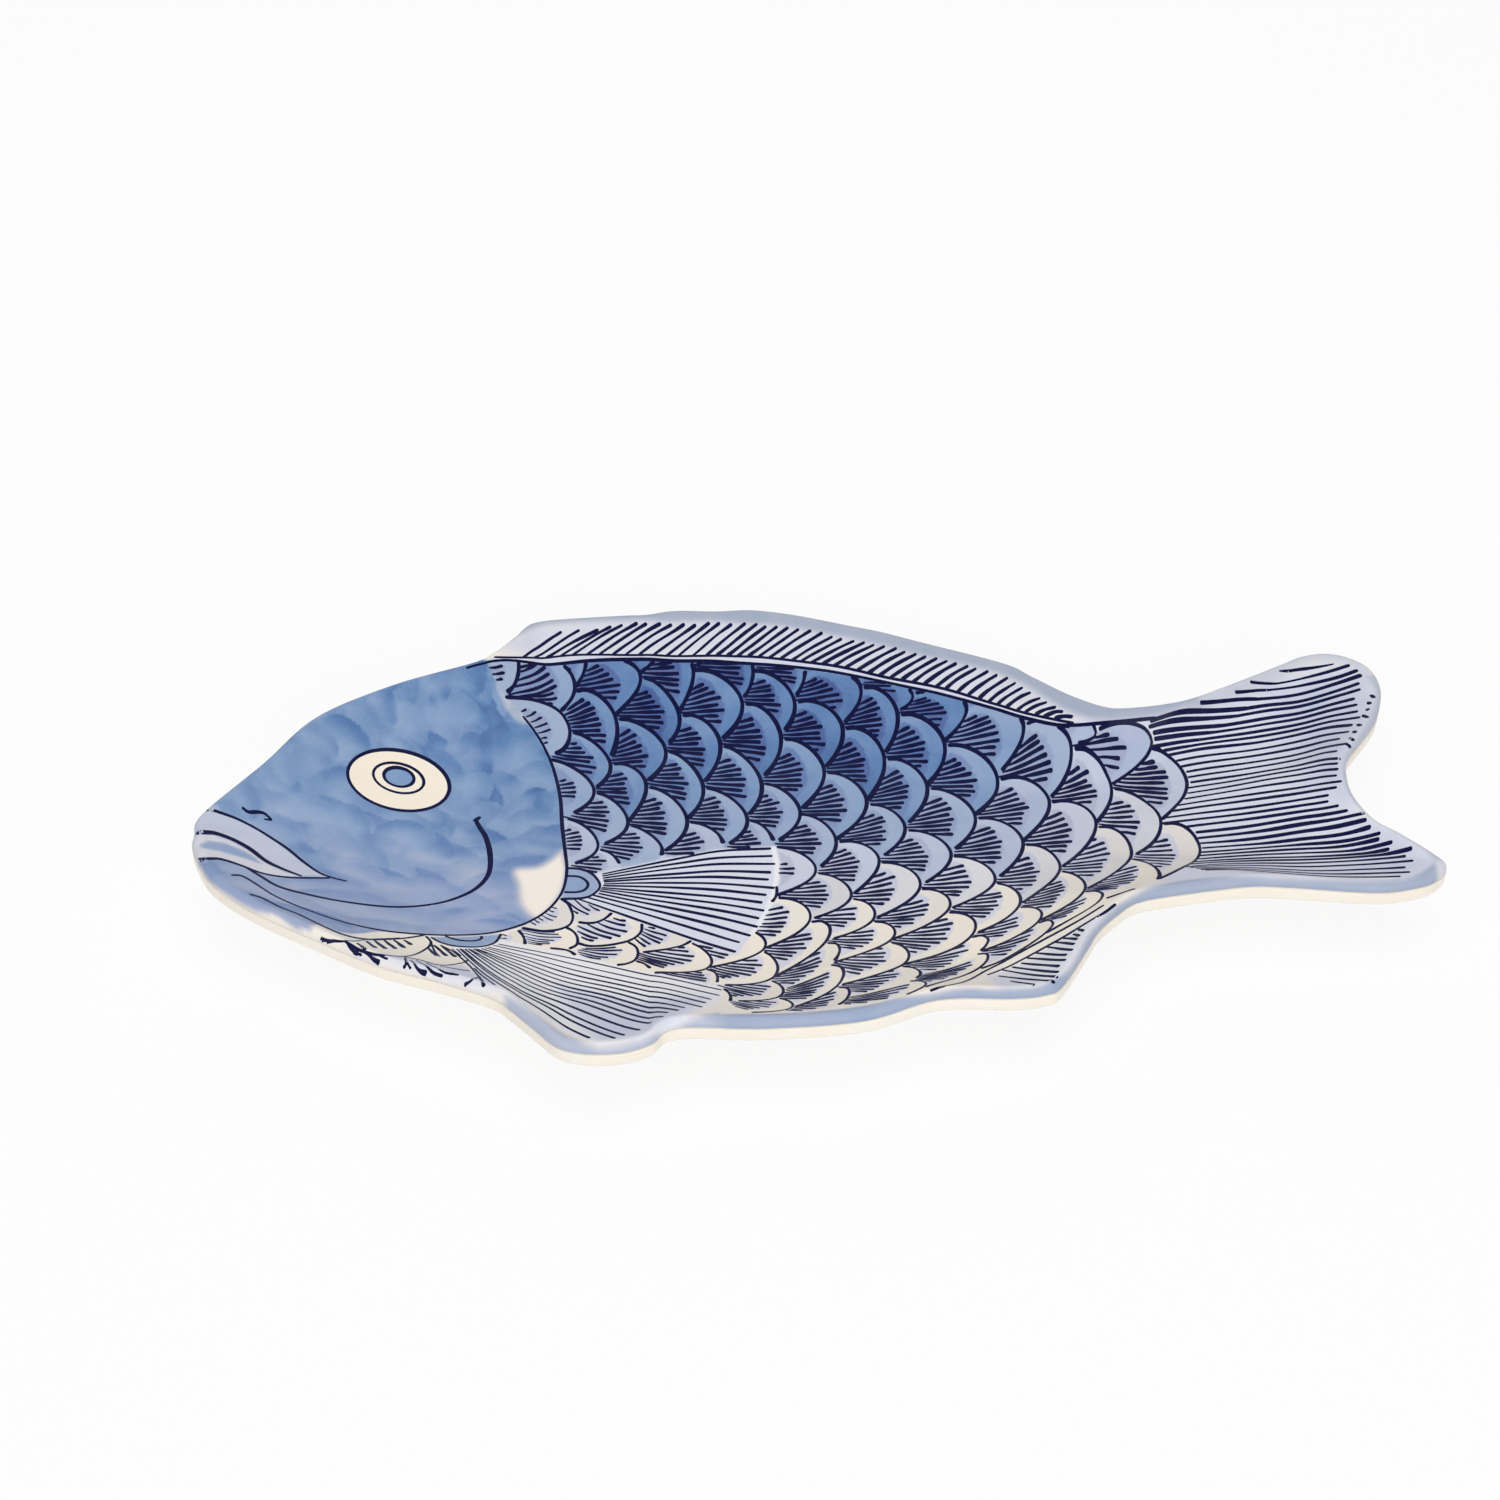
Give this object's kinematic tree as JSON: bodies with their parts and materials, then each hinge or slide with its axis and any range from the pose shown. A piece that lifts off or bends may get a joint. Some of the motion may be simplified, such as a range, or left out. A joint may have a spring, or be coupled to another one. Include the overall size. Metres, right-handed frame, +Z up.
{
  "type": "fish shaped platter",
  "caption": "Fish shaped ceramic serving platter with a concave blue and white face, a rounded rim and a clay foot underneath.",
  "frame": {"origin": "middle of the platter's length and width, on the surface that the foot stands on", "axes": "+X from the snout to the tail, +Y from the belly to the back of the fish, +Z up out of the dish"},
  "size_m": [0.36, 0.185, 0.027],
  "materials": {
    "white_clay": "fired white clay, bare and matt on the ground face of the foot",
    "painted_face_glaze": "cobalt blue underglaze painting under glossy clear glaze",
    "clear_back_glaze": "glossy clear glaze over warm white clay"
  },
  "bodies": {
    "root": {"dish_body": "white_clay", "foot_ring": "white_clay", "face_glaze": "painted_face_glaze", "back_glaze": "clear_back_glaze", "well_glaze": "clear_back_glaze"}
  },
  "joints": []
}
